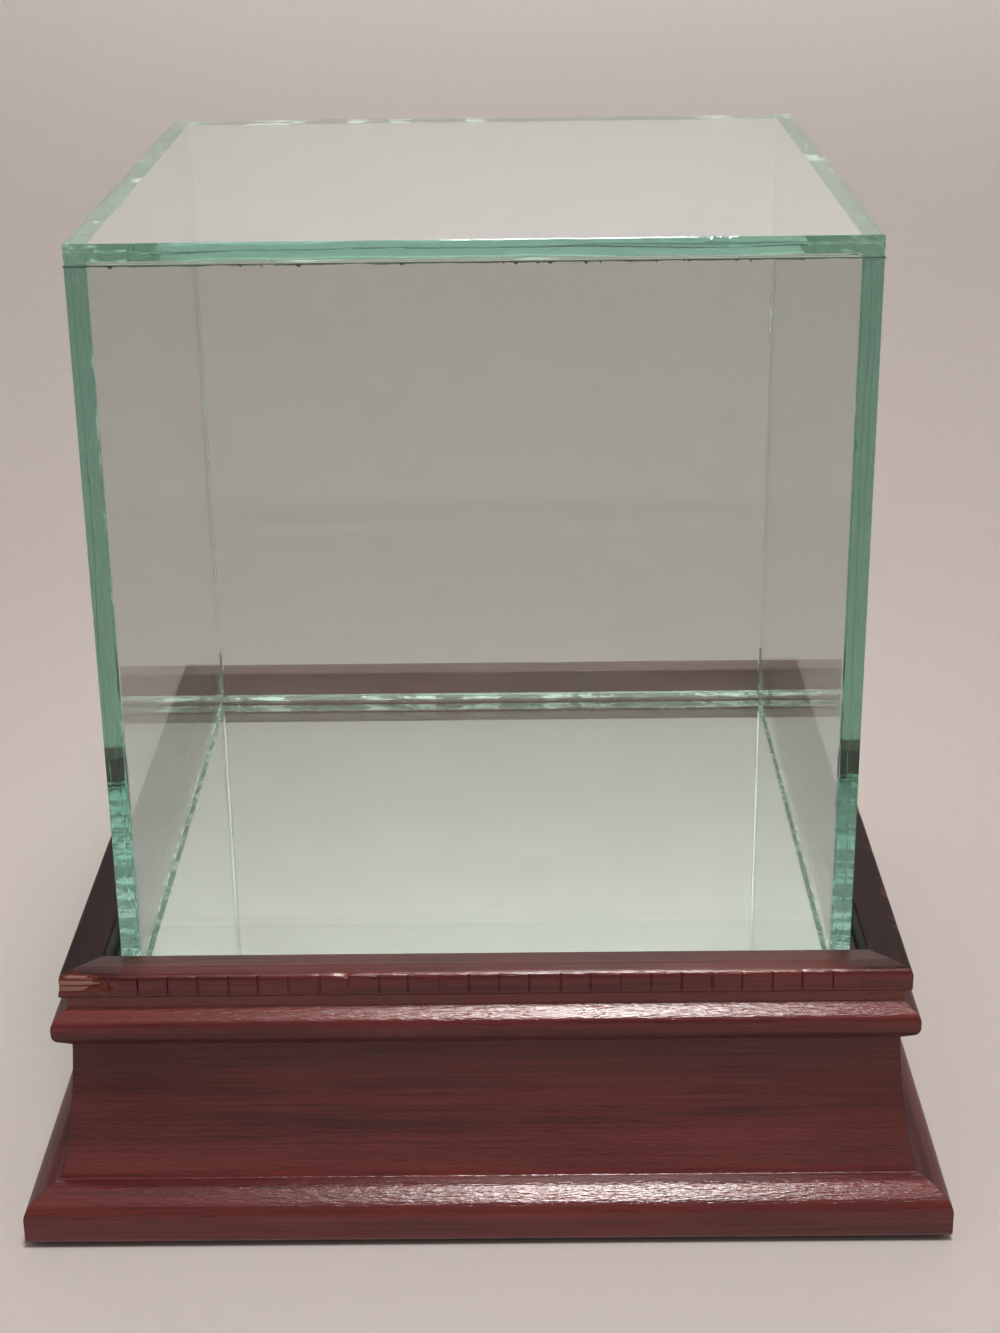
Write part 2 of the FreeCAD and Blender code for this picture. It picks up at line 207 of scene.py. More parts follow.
def float_glass(name, tone, dust):
    material, tree = new_material(name)
    place = add(tree, "ShaderNodeTexCoord").outputs["Object"]
    edge = add(tree, "ShaderNodeAttribute", {"attribute_name": "edge"}).outputs["Fac"]
    wiped = add(tree, "ShaderNodeMapping", {"Scale": (1.0, 1.0, DUST_FLATTENED)}, {"Vector": place})
    smear = add(tree, "ShaderNodeTexNoise", {
        "Scale": 1 / (DUST_SPREAD_MM * MM), "Detail": 6.0, "Roughness": 0.62, "Distortion": 0.8,
    }, {"Vector": wiped.outputs["Vector"]})
    haze = add(tree, "ShaderNodeMapRange", {
        "From Min": 0.42, "From Max": 0.78, "To Min": 0.2 * dust, "To Max": dust,
    }, {"Value": smear.outputs["Fac"]})
    matt = add(tree, "ShaderNodeMapRange", {
        "From Min": CUT, "From Max": STONE, "To Min": 0.0, "To Max": 0.25,
    }, {"Value": edge})
    stoned = add(tree, "ShaderNodeMapRange", {"From Min": SEAM, "From Max": STONE}, {"Value": edge})
    grit = add(tree, "ShaderNodeTexNoise", {
        "Scale": 1 / (STONE_GRIT_MM * MM), "Detail": 3.0,
    }, {"Vector": place})
    scratched = add(tree, "ShaderNodeMath", {"operation": "MULTIPLY"}, {
        0: grit.outputs["Fac"], 1: stoned.outputs["Result"],
    })
    bump = add(tree, "ShaderNodeBump", {"Strength": 1.0, "Distance": STONE_GRIT_DEPTH * MM}, {
        "Height": scratched.outputs["Value"],
    })
    spots = add(tree, "ShaderNodeTexNoise", {
        "Scale": 1 / (GROUND_SPOT_MM * MM), "Detail": 5.0, "Roughness": 0.7,
    }, {"Vector": place})
    ground = add(tree, "ShaderNodeMapRange", {
        "From Min": 0.48, "From Max": 0.58, "To Min": 0.08, "To Max": 0.7,
    }, {"Value": spots.outputs["Fac"]})
    frosted = add(tree, "ShaderNodeMath", {"operation": "MULTIPLY"}, {
        0: ground.outputs["Result"], 1: stoned.outputs["Result"],
    })
    pale = add(tree, "ShaderNodeMath", {"operation": "MAXIMUM"}, {
        0: haze.outputs["Result"], 1: frosted.outputs["Value"],
    })
    tint = add(tree, "ShaderNodeMix", {
        "data_type": "RGBA", 6: linear(tone), 7: linear("DDF2E8"),
    }, {0: edge})
    glass = add(tree, "ShaderNodeBsdfPrincipled", {"IOR": GLASS_IOR, "Transmission Weight": 1.0}, {
        "Base Color": tint.outputs[2], "Roughness": matt.outputs["Result"], "Normal": bump.outputs["Normal"],
    })
    powder = add(tree, "ShaderNodeMix", {
        "data_type": "RGBA", 6: linear("CFCBBE"), 7: linear("F4FFFC"),
    }, {0: stoned.outputs["Result"]})
    film = add(tree, "ShaderNodeBsdfDiffuse", {}, {"Color": powder.outputs[2]})
    dusty = add(tree, "ShaderNodeMixShader", {}, {
        0: pale.outputs["Value"], 1: glass.outputs["BSDF"], 2: film.outputs["BSDF"],
    })
    depth = add(tree, "ShaderNodeVolumeAbsorption", {
        "Color": linear(ABSORBED), "Density": ABSORPTION_PER_METRE,
    })
    add(tree, "ShaderNodeOutputMaterial", {}, {
        "Surface": lamp_lit(tree, dusty.outputs["Shader"]), "Volume": depth.outputs["Volume"],
    })
    return material


pane_glass = float_glass("float_glass_soda_lime", "EDEFED", dust=0.035)
print(pane_glass.name)

# %% [markdown]
# A pane is scored and snapped, not sawn. The break leaves two slightly tilted facets that meet in a
# small wandering step, a few nibbles where the score ran, and sharp corners that are seamed with a
# stone. Bump could only shade that, and light goes through these edges, so they are built: six loops
# run round each pane, and the loops' places across the glass follow the break. The lower edges were
# rubbed on a coarse stone, which left them uneven.

# %% Snapped panes
SAMPLE_STEP = 0.6
GLUED_STEPS = 5
# waves along an edge: of the step between the facets, its trembling, the seams, the tilt, the rubbing
RIDGE_WAVES, TREMBLE_WAVES, SEAM_WAVES, TILT_WAVES, RUB_WAVES = 21.0, 6.0, 1.9, 33.0, 1.3
# how far the step lies off the middle of the glass, wanders and trembles, in shares of the thickness
RIDGE_OFF, RIDGE_WANDERS, RIDGE_TREMBLES = 0.17, 0.15, 0.06
SEAM_VARIES, TILT_VARIES, UPPER_TILT = 0.35, 0.6, 0.4
STEP_WIDTH = 0.2
SEAM_WIDTH = {"open": 0.06, "glued": 0.03, "stone": 0.12}
FACET_TILT = {"open": 0.07, "glued": 0.01, "stone": 0.03}
STEP_DEPTH = {"open": 0.09, "glued": 0.01, "stone": 0.03}
UNEVEN = {"open": 0.0, "glued": 0.0, "stone": 0.11}
CHIP_SPACING = {"open": 30.0, "glued": 60.0, "stone": 6.0}
CHIP_RADII, CHIP_DEPTHS = (0.25, 0.8), (0.06, 0.3)
EDGE_CLEARANCE = 0.02
CORNER_FADE = 5.0
LOOPS = 6


def nibbles(length, kind, name):
    """Places, radii and depths of the chips along one edge."""
    draw = random.Random(name)
    return [(draw.uniform(0, length), draw.uniform(*CHIP_RADII), draw.uniform(*CHIP_DEPTHS))
            for _ in range(int(length / CHIP_SPACING[kind]))]


def chipped(place, chips):
    depths = [d * math.sqrt(1 - ((place - at) / r) ** 2) for at, r, d in chips if abs(place - at) < r]
    return max(depths, default=0.0)


def break_at(place, length, thickness, kind, seed, chips):
    """Across the glass at one place of an edge: (height in the pane, inset) of the six loops."""
    calm = min(1.0, place / CORNER_FADE, (length - place) / CORNER_FADE)
    middle = 0.5 - RIDGE_OFF * math.sin(2.4 * seed)
    wander = RIDGE_WANDERS * ripple(place, RIDGE_WAVES, seed)
    ridge = middle + calm * (wander + RIDGE_TREMBLES * ripple(place, TREMBLE_WAVES, seed + 1))
    seams = [SEAM_WIDTH[kind] * (1 + SEAM_VARIES * ripple(place, SEAM_WAVES, seed + i)) for i in (2, 3)]
    low, high = [seam + chipped(place, nibbled) for seam, nibbled in zip(seams, chips)]
    tilt = FACET_TILT[kind] * (1 + TILT_VARIES * ripple(place, TILT_WAVES, seed + 4))
    step = STEP_DEPTH[kind] * calm
    loops = [
        (0.0, tilt + step + low),
        (low, tilt + step),
        (ridge * thickness - STEP_WIDTH / 2, step),
        (ridge * thickness + STEP_WIDTH / 2, 0.0),
        (thickness - high, UPPER_TILT * tilt),
        (thickness, UPPER_TILT * tilt + high),
    ]
    worn = [UNEVEN[kind] * calm * (1 + ripple(place, RUB_WAVES, seed + 5 + 0.37 * i))
            for i in range(LOOPS)]
    return [(height, EDGE_CLEARANCE + inset + rub) for (height, inset), rub in zip(loops, worn)]


def parted(starts, level, inner):
    """A face of a pane in nine cells, corner cells first. The outer ones are as wide as a wall."""
    total = starts[-1]

    def run(first, last):
        return [LOOPS * (i % total) + level for i in range(first, last + 1)]

    corners, sides = [], []
    for side in range(4):
        start, end = starts[side], starts[side + 1]
        corners.append(run((start - GLUED_STEPS) % total, (start - GLUED_STEPS) % total + 2 * GLUED_STEPS)
                       + [inner[side]])
        sides.append(run(start + GLUED_STEPS, end - GLUED_STEPS) + [inner[(side + 1) % 4], inner[side]])
    return corners + sides + [inner]


def snapped_pane(node, axes, kinds, glued_face, glued_sides, seed):
    """A pane in its node's place. Axes are its two long directions and the one across the glass."""
    low, high = box_mm(node)
    size = [high[axis] - low[axis] for axis in axes]
    edges = []
    for side, kind in enumerate(kinds):
        length = size[side % 2]
        chips = [nibbles(length, kind, f"{node} {side} {arris}") for arris in ("low", "high")]
        edges.append((length, size[2], kind, 10 * seed + side, chips))

    def placed(a, b, across):
        point = [0.0, 0.0, 0.0]
        for axis, offset in zip(axes, (a, b, across)):
            point[axis] = low[axis] + offset
        return point

    points, marks, glued, starts = [], [], [], [0]
    for side, edge in enumerate(edges):
        length, _, kind, _, _ = edge
        before = edges[side - 1]
        corner = break_at(before[0], *before)
        steps = round(length / SAMPLE_STEP)
        starts.append(starts[-1] + steps)
        for step in range(steps):
            place = length * step / steps
            loops = break_at(place, *edge)
            for (height, inset), (_, corner_inset) in zip(loops, corner):
                along = place + (corner_inset if step == 0 else 0.0)
                flat = [(along, inset), (size[0] - inset, along),
                        (size[0] - along, size[1] - inset), (inset, size[1] - along)][side]
                points.append(placed(*flat, height))
            marks += [STONE] * 5 if kind == "stone" else [SEAM, CUT, CUT, CUT, SEAM]
            glued += [float(kind == "glued")] * 5
    faces = skin(starts[-1], LOOPS, ring=True, tube=False)
    wall = GLUED_STEPS * SAMPLE_STEP
    for number, (across, level) in enumerate(((0.0, 0), (size[2], LOOPS - 1))):
        inner = list(range(len(points), len(points) + 4))
        points += [placed(a, b, across) for a, b in (
            (wall, wall), (size[0] - wall, wall), (size[0] - wall, size[1] - wall), (wall, size[1] - wall))]
        cells = parted(starts, level, inner)
        faces += cells if number else [cell[::-1] for cell in cells]
        marks += [FACE] * len(cells)
        joined = [number == glued_face and (side in glued_sides or (side - 1) % 4 in glued_sides)
                  for side in range(4)]
        joined += [number == glued_face and side in glued_sides for side in range(4)] + [False]
        glued += [float(is_joined) for is_joined in joined]
    piece = new_piece(f"{node}_glass", points, faces, pane_glass, "cover", "float_glass", node)
    piece.data.attributes.new("edge", "FLOAT", "FACE").data.foreach_set("value", marks)
    piece.data.attributes.new("glued", "FLOAT", "FACE").data.foreach_set("value", glued)
    for line in piece.data.edges:
        one, two = line.vertices
        line.use_edge_sharp = one % LOOPS == two % LOOPS
    return piece


X, Y, Z = 0, 1, 2
ACROSS, SIDEWAYS, UPRIGHT = (X, Y, Z), (Y, Z, X), (Z, X, Y)
SIDE_WALL, END_WALL = ("stone", "open", "glued", "open"), ("glued", "glued", "glued", "stone")
LOWER_FACE, UPPER_FACE = 0, 1
# directions, kinds of edges, which face has walls glued to it and along which of its sides
PANES = {
    "top_pane": (ACROSS, ("open",) * 4, LOWER_FACE, {0, 1, 2, 3}),
    "left_pane": (SIDEWAYS, SIDE_WALL, UPPER_FACE, {1, 3}),
    "right_pane": (SIDEWAYS, SIDE_WALL, LOWER_FACE, {1, 3}),
    "front_pane": (UPRIGHT, END_WALL, LOWER_FACE, set()),
    "back_pane": (UPRIGHT, END_WALL, LOWER_FACE, set()),
}
for seed, (node, build) in enumerate(PANES.items(), start=1):
    piece = snapped_pane(node, *build, seed)
    print(piece.name, len(piece.data.vertices), "points")

# %% [markdown]
# The panes are held by clear adhesive, a film thinner than a sheet of paper, with a frothy patch here
# and there. Its edge wanders a little short of the glass, and under the top pane it was squeezed out
# in small beads, which are drawn in a dark grey-green.

# %% Adhesive
FILM_CLEARANCE = 0.02
FILM_STEP = 0.75
FROTH_MM = 11.0
# how far the film stays short of the glass, and how far its edges wander in the ring and in the strips
FILM_SHORT, RING_WANDERS, STRIP_SHORT, STRIP_WANDERS = 0.28, (0.24, 0.2), 0.09, 0.08
BEADS_PER_WALL = 34
BEAD_AROUND = 9
# half width, half height and sag of a drop, its thickness as a share of the smaller, swelling of the line
BEAD_WIDE, BEAD_LONG, BEAD_SAG, BEAD_THICK, LINE_SWELLS = (0.12, 0.42), (0.1, 0.3), (0.0, 0.25), 0.35, 0.5


def adhesive(name, between_panes):
    """Between panes the film bends no light and only its froth shows. In the open it is glassy and dark
    grey-green.
    """
    material, tree = new_material(name)
    place = add(tree, "ShaderNodeTexCoord").outputs["Object"]
    froth = add(tree, "ShaderNodeTexNoise", {"Scale": 1 / (FROTH_MM * MM), "Detail": 4.0}, {"Vector": place})
    cloudy = add(tree, "ShaderNodeMapRange", {
        "From Min": 0.58, "From Max": 0.68, "To Min": 0.03, "To Max": 0.6,
    }, {"Value": froth.outputs["Fac"]})
    if between_panes:
        clear = add(tree, "ShaderNodeBsdfTransparent", {"Color": linear("FAFCFA")})
    else:
        clear = add(tree, "ShaderNodeBsdfPrincipled", {
            "Base Color": linear("7C8A80"), "IOR": 1.5, "Transmission Weight": 1.0, "Roughness": 0.1,
        })
    bubbles = add(tree, "ShaderNodeBsdfDiffuse", {"Color": linear("E4EEE6" if between_panes else "5E685F")})
    cured = add(tree, "ShaderNodeMixShader", {}, {
        0: cloudy.outputs["Result"], 1: clear.outputs["BSDF"], 2: bubbles.outputs["BSDF"],
    })
    add(tree, "ShaderNodeOutputMaterial", {}, {"Surface": cured.outputs["Shader"]})
    return material


film = adhesive("clear_adhesive_film", between_panes=True)
drops = adhesive("clear_adhesive_squeezed_out", between_panes=False)
COVER_HALF = box_mm("top_glue")[1].x
WALL = box_mm("left_pane")[1].x - box_mm("left_pane")[0].x


def film_ring():
    """The film under the top pane, a ring whose edges wander inside the walls' width."""
    low, high = box_mm("top_glue")
    bottom, top = low.z + FILM_CLEARANCE, high.z - FILM_CLEARANCE
    steps = round(2 * COVER_HALF / FILM_STEP)
    points = []
    for side in range(4):
        for step in range(steps):
            place = step / steps
            shift = 2 * COVER_HALF * place
            outer, inner = COVER_HALF - FILM_SHORT, COVER_HALF - WALL
            if step:
                outer -= RING_WANDERS[0] * ripple(shift, 2.2, 60 + side)
                inner += RING_WANDERS[1] * ripple(shift, 3.1, 70 + side)
            for reach, height in ((outer, bottom), (outer, top), (inner, top), (inner, bottom)):
                along = reach * (2 * place - 1)
                flat = [(along, -reach), (reach, along), (-along, reach), (-reach, -along)][side]
                points.append((*flat, height))
    faces = skin(len(points) // 4, 4, ring=True)
    return new_piece("top_glue_film", points, faces, film, "cover", "clear_adhesive", "top_glue")


def film_strip(node, seed):
    """An upright film between two walls, with wandering edges."""
    low, high = box_mm(node)
    steps = round((high.z - low.z) / FILM_STEP)
    points = []
    for step in range(steps + 1):
        height = low.z + FILM_CLEARANCE + (high.z - low.z - 2 * FILM_CLEARANCE) * step / steps
        front = low.y + STRIP_SHORT + STRIP_WANDERS * ripple(height, 2.4, seed)
        back = high.y - STRIP_SHORT + STRIP_WANDERS * ripple(height, 2.9, seed + 1)
        left, right = low.x + FILM_CLEARANCE, high.x - FILM_CLEARANCE
        points += [(left, front, height), (left, back, height), (right, back, height), (right, front, height)]
    faces = skin(steps + 1, 4) + caps(steps + 1, 4)
    return new_piece(f"{node}_film", points, faces, film, "cover", "clear_adhesive", node)


def squeezed_out():
    """A thin line of adhesive along the joint under the top pane, outside the walls, with flat drops."""
    draw = random.Random("squeezed out under the top pane")
    ceiling = box_mm("top_glue")[0].z
    line = [(0.0, 0.0), (0.08, -0.04), (0.11, -0.14), (0.08, -0.24), (0.0, -0.28)]
    profile = [(1.0, 0.0), (0.93, 0.45), (0.65, 0.85), (0.25, 1.0)]
    points, faces = [], []
    for side in range(4):
        start = len(points)
        steps = round(2 * COVER_HALF / FILM_STEP)
        for step in range(steps + 1):
            along = COVER_HALF * (2 * step / steps - 1)
            swell = 1 + LINE_SWELLS * ripple(along, 3.0, 90 + side)
            for out, rise in line:
                reach = COVER_HALF + FILM_CLEARANCE + out * swell
                flat = [(along, -reach), (reach, along), (-along, reach), (-reach, -along)][side]
                points.append((*flat, ceiling + rise * swell))
        tube = skin(steps + 1, len(line)) + caps(steps + 1, len(line))
        faces += [[start + i for i in face] for face in tube]
        for _ in range(BEADS_PER_WALL):
            wide, long = draw.uniform(*BEAD_WIDE), draw.uniform(*BEAD_LONG)
            along = draw.uniform(-1, 1) * (COVER_HALF - WALL)
            height = ceiling - long - draw.uniform(*BEAD_SAG) ** 2
            thick = BEAD_THICK * min(wide, long)
            start = len(points)
            for spread, rise in profile:
                for i in range(BEAD_AROUND):
                    angle = 2 * math.pi * i / BEAD_AROUND
                    across = along + wide * spread * math.cos(angle)
                    out = COVER_HALF + FILM_CLEARANCE + thick * rise
                    flat = [(across, -out), (out, across), (-across, out), (-out, -across)][side]
                    points.append((*flat, height + long * spread * math.sin(angle)))
            lump = skin(len(profile), BEAD_AROUND) + caps(len(profile), BEAD_AROUND)
            faces += [[start + i for i in face][::-1] for face in lump]
    return new_piece("top_glue_drops", points, faces, drops, "cover", "clear_adhesive")


film_ring()
squeezed_out()
for seed, corner in enumerate(CORNERS):
    film_strip(f"{corner}_glue", 80 + 2 * seed)
print("adhesive in place")

# %% [markdown]
# The floor of the case is a mirror: a plate of the same glass with silver on its underside. Light
# goes through the glass twice, which is why the mirror looks slightly green and doubles each edge
# that stands on it. The silver is a thin sheet just inside the back of the plate, and it stops a
# little short of the plate's edges.

# %% Mirror
SILVER_LIFT = 0.02
SILVER_THICK = 0.03
SILVER_BORDER = 0.8
SILVER_CORNER = 3.0
CORNER_STEPS = 6
SILVER_AGE_MM = 22.0


def silver():
    material, tree = new_material("silver_coat_mirror")
    place = add(tree, "ShaderNodeTexCoord").outputs["Object"]
    age = add(tree, "ShaderNodeTexNoise", {"Scale": 1 / (SILVER_AGE_MM * MM), "Detail": 5.0}, {
        "Vector": place,
    })
    tone = add(tree, "ShaderNodeMix", {
        "data_type": "RGBA", 6: linear("F0F1EF"), 7: linear("FAFAF8"),
    }, {0: age.outputs["Fac"]})
    shader = add(tree, "ShaderNodeBsdfPrincipled", {"Metallic": 1.0, "Roughness": 0.0}, {
        "Base Color": tone.outputs[2],
    })
    add(tree, "ShaderNodeOutputMaterial", {}, {"Surface": shader.outputs["BSDF"]})
    return material


def silver_sheet():
    low, high = box_mm("mirror")
    middle = high.x - SILVER_BORDER - SILVER_CORNER
    points = []
    for height in (low.z + SILVER_LIFT, low.z + SILVER_LIFT + SILVER_THICK):
        for x_sign, y_sign, start in ((1, 1, 90), (1, -1, 0), (-1, -1, -90), (-1, 1, -180)):
            for step in range(CORNER_STEPS + 1):
                angle = math.radians(start - 90 * step / CORNER_STEPS)
                points.append((x_sign * middle + SILVER_CORNER * math.cos(angle),
                               y_sign * middle + SILVER_CORNER * math.sin(angle), height))
    around = len(points) // 2
    return new_piece("mirror_silver", points, skin(2, around) + caps(2, around), silver(), "base",
                     "silvered_mirror")


dress("mirror", float_glass("float_glass_mirror_plate", "FCFCFC", dust=0.02))
silver_sheet()
print("mirror silvered")

# %% [markdown]
# The base is one moulding, mitred at the corners. From the top it has a flat rim, a lip with small
# saw cuts, a fillet, a bead, a long shallow cove and a rounded foot. The frame's solids hold the
# same moulding; here it is drawn again with more points and a fuller foot, so that the lacquer's
# highlights run smooth and the cuts, dents and worn places can differ from each other as they do on a
# hand-finished piece.

# %% Moulding profile
INNER = 56.0
LEDGE, RIM_WIDTH, FOOT_REACH = 6.4, 6.6, 7.6
LIP = LEDGE + RIM_WIDTH
FOOT = LIP + FOOT_REACH
RAIL_FOOT = box_mm("front_rail")[0].z
RAIL_HEIGHT = box_mm("front_rail")[1].z - RAIL_FOOT
LEDGE_HEIGHT = box_mm("mirror_board")[0].z - RAIL_FOOT
PANEL_HEIGHT = box_mm("bottom_panel")[1].z - RAIL_FOOT
PANEL_RABBET = 4.0
BEVEL_WIDTH, BEVEL_DROP = 3.0, 0.4
LIP_HEIGHT, FILLET_SETBACK, FILLET_HEIGHT = 3.9, 1.1, 2.25
BEAD_REACH, BEAD_SLOPE_DROP, BEAD_FACE, BEAD_UNDER_DROP = 1.5, 1.8, 3.05, 2.1
NECK_SETBACK = 1.3
COVE_RADIUS = 140.0
QUIRK_HEIGHT, QUIRK_STEP, QUIRK_FLAT = 1.0, 0.6, 1.6
FOOT_HEIGHT, FOOT_FACE, FOOT_ROUND = 9.2, 6.2, 3.4
CROWN_REACH, CROWN_ROUND = 3.8, 4.0

lip_top = RAIL_HEIGHT - BEVEL_DROP
lip_under = lip_top - LIP_HEIGHT
fillet_foot = lip_under - FILLET_HEIGHT
bead_top = fillet_foot - BEAD_SLOPE_DROP
bead_under = bead_top - BEAD_FACE
neck = bead_under - BEAD_UNDER_DROP
crown = FOOT - CROWN_REACH
quirk = crown - QUIRK_FLAT

# distance out from the rail's inner face, height above its underside, radius of the corner
PROFILE = [
    (PANEL_RABBET, 0.0, 0.0),
    (FOOT, 0.0, 1.2),
    (FOOT, FOOT_FACE, FOOT_ROUND),
    (crown, FOOT_HEIGHT, CROWN_ROUND),
    (quirk, FOOT_HEIGHT, 0.4),
    (quirk - QUIRK_STEP, FOOT_HEIGHT + QUIRK_HEIGHT, 0.0),
    (LIP - NECK_SETBACK, neck, 0.4),
    (LIP + BEAD_REACH, bead_under, 2.4),
    (LIP + BEAD_REACH, bead_top, 1.8),
    (LIP - FILLET_SETBACK, fillet_foot, 0.4),
    (LIP - FILLET_SETBACK, lip_under, 0.0),
    (LIP, lip_under, 0.55),
    (LIP, lip_top, 1.2),
    (LIP - BEVEL_WIDTH, RAIL_HEIGHT, 0.0),
    (LEDGE, RAIL_HEIGHT, 0.4),
    (LEDGE, LEDGE_HEIGHT, 0.0),
    (0.0, LEDGE_HEIGHT, 0.0),
    (0.0, PANEL_HEIGHT, 0.0),
    (PANEL_RABBET, PANEL_HEIGHT, 0.0),
]
COVE_START = 5
COVE_STEPS = 18
ARC_STEPS = 7
LONGEST_STEP = 1.5


def cove(start, end):
    """Points of a hollow arc between two points, whose middle sinks towards the wood."""
    chord = end - start
    outward = Vector((chord.y, -chord.x)).normalized()
    centre = (start + end) / 2 + outward * math.sqrt(COVE_RADIUS ** 2 - chord.length_squared / 4)
    sweep = -2 * math.asin(chord.length / 2 / COVE_RADIUS)
    return [centre + Matrix.Rotation(sweep * step / COVE_STEPS, 2) @ (start - centre)
            for step in range(1, COVE_STEPS)]


def drawn_profile():
    """The profile as a closed line of points, none far apart, each with whether it is a hard corner."""
    corners = [(Vector(point[:2]), point[2]) for point in PROFILE]
    hollow = cove(corners[COVE_START][0], corners[COVE_START + 1][0])
    corners[COVE_START + 1:COVE_START + 1] = [(point, None) for point in hollow]
    line = []
    for i, (corner, radius) in enumerate(corners):
        if not radius:
            line.append((corner, radius is not None))
            continue
        before = (corners[i - 1][0] - corner).normalized()
        after = (corners[(i + 1) % len(corners)][0] - corner).normalized()
        half = before.angle(after) / 2
        centre = corner + (before + after).normalized() * (radius / math.sin(half))
        start = corner + before * (radius / math.tan(half)) - centre
        swing = math.copysign(math.pi - 2 * half, -before.cross(after))
        for step in range(ARC_STEPS + 1):
            line.append((centre + Matrix.Rotation(swing * step / ARC_STEPS, 2) @ start, False))
    spaced = []
    for i, (here, hard) in enumerate(line):
        there = line[(i + 1) % len(line)][0]
        parts = max(1, math.ceil((there - here).length / LONGEST_STEP))
        spaced += [(here.lerp(there, part / parts), hard and part == 0) for part in range(parts)]
    return spaced


profile = drawn_profile()
print(len(profile), "points round the moulding")

# %% [markdown]
# Each rail is the profile drawn along its length, with extra sections at each saw cut. The ends are
# mitred: a point further out ends further along. Time has left its marks: the front left corner is
# knocked, the lip has a nick, and the rim is rubbed. A number on each point, "wear", says how far the
# lacquer is gone there, from 0 over 0.5, where the stain is rubbed brown, to 1, bare wood. Another one
# holds the stain together with painted light and shade: below 0 the wood is lighter, above 0 darker.
# The fillet is painted lighter, as painted light where the lip shades it. The cove is painted lighter at
# its foot and darker in bands up to the bead, and darkest under the bead, as painted shade where the
# bead's shadow falls. The foot is a little lighter up its face and darker on its crown, and two patches
# near the ends are darker. The two side lengths are painted darker, and their flat rims, with 1, almost
# black; those of the other two are painted dark next to the mitres. Both are painted shade, not stain.

# %% Rails
KERF_PITCH, KERF_HALF_WIDTH, KERF_DEPTH, KERF_LENGTH, KERF_MARGIN = 4.87, 0.21, 0.42, 3.6, 7.6
KERF_FLOOR = 0.4
STRAIGHT = 50.0
SECTION_STEP = 1.6
MITRE_CLEARANCE = 0.02
LIP_HALF = INNER + LIP
LIP_TOP = RAIL_FOOT + RAIL_HEIGHT
RAGGED_MM = 3.2
SIDE_LENGTHS = ("left_rail", "right_rail")
# the side lengths are painted darker all over, and their rims almost black: painted shade
SIDE_SHADE = 0.3
# darkness of the front and back rims, and next to their mitres, where it is painted shade
RIM_STAIN, CORNER_SHADE = 0.25, 0.85
CORNER_START, CORNER_END = 56.5, 60.0
RIM_FADE = 0.7

# height on the outer side of a rail, stain there with painted light and shade: lighter in the fillet and at
# the cove's foot, darker up the cove and most under the bead
STAIN_AND_SHADE = [
    (0.0, 0.0),
    (FOOT_FACE, -0.15),
    (FOOT_HEIGHT, 0.15),
    (FOOT_HEIGHT + QUIRK_HEIGHT, -0.2),
    (neck - 16.0, 0.05),
    (neck - 9.0, 0.2),
    (neck - 4.0, 0.1),
    (neck, 0.2),
    (bead_under, 0.45),
    (bead_top, 0.0),
    (fillet_foot - 0.2, 0.0),
    (fillet_foot + 0.2, -0.6),
    (lip_under - 0.1, -0.6),
    (lip_under + 0.3, 0.15),
    (lip_top - RIM_FADE, 0.0),
]

# place along a rail and height of a darker patch near its end, reach along and up, extra darkness
PATCHES = [(-60.0, 25.0, 32.0, 15.0, 0.32), (64.0, 22.0, 18.0, 13.0, 0.2)]

# middle and reach in the frame's millimetres, depth of the dent, wear
SCARS = [
    (Vector((0.5 - LIP_HALF, -LIP_HALF, LIP_TOP - 1.9)), Vector((7.5, 1.6, 1.7)), 0.5, 1.0),
    (Vector((-22.6, -LIP_HALF, LIP_TOP)), Vector((1.0, 1.1, 0.9)), 0.4, 1.0),
    (Vector((42.0, 0.9 - LIP_HALF, LIP_TOP)), Vector((17.0, 0.8, 0.9)), 0.02, 0.4),
]


SPOT_PLACE, SPOT_REACH, SPOT_DENT, SPOT_WEAR = (-66, 66), (1.0, 5.0), (0.02, 0.1), (0.1, 0.35)


def more_scars(count):
    """Small rubbed spots on the lips of the other three sides."""
    draw = random.Random("years on a shelf")
    spots = []
    for _ in range(count):
        spin = Matrix.Rotation(math.radians(draw.choice((90, 180, 270))), 3, "Z")
        middle = spin @ Vector((draw.uniform(*SPOT_PLACE), 0.4 - LIP_HALF, LIP_TOP - 0.4))
        reach = draw.uniform(*SPOT_REACH)
        size = Vector((reach, reach, 1.1))
        spots.append((middle, size, draw.uniform(*SPOT_DENT), draw.uniform(*SPOT_WEAR)))
    return spots


SCARS += more_scars(12)


def scarred(point):
    """Push a point in where the wood is dented, and say how far its lacquer is worn."""
    wear = 0.0
    for middle, reach, depth, worn in SCARS:
        apart = Vector([(point[i] - middle[i]) / reach[i] for i in range(3)]).length
        if apart > 1.5:
            continue
        share = 1.0 - apart - 0.5 * noise.noise(point / RAGGED_MM)
        if share > 0:
            inward = Vector((-middle.x, -middle.y, -LIP_HALF)).normalized()
            point = point + inward * depth * min(1.0, 2.0 * share)
            wear = max(wear, worn * min(1.0, 6.0 * share))
    return point, wear


def saw_cuts(seed):
    """Place, half width, depth and lower end of each saw cut along a lip."""
    draw = random.Random(seed)
    gaps = math.floor(2 * (LIP_HALF - KERF_MARGIN) / KERF_PITCH)
    return [((i - gaps / 2) * KERF_PITCH + draw.uniform(-0.15, 0.15),
             KERF_HALF_WIDTH * draw.uniform(0.7, 1.1),
             KERF_DEPTH * draw.uniform(0.25, 1.1),
             RAIL_HEIGHT - KERF_LENGTH * draw.uniform(0.7, 1.0)) for i in range(gaps + 1)]


def sections(cuts):
    """Places along the rail at which the profile is drawn, in order."""
    places = {-LIP_HALF, LIP_HALF}
    for at, half, _, _ in cuts:
        places |= {at - half, at - KERF_FLOOR * half, at + KERF_FLOOR * half, at + half}
    ordered = sorted(places)
    for here, there in zip(ordered, ordered[1:]):
        parts = math.ceil((there - here) / SECTION_STEP)
        places |= {here + (there - here) * part / parts for part in range(1, parts)}
    return sorted(places)


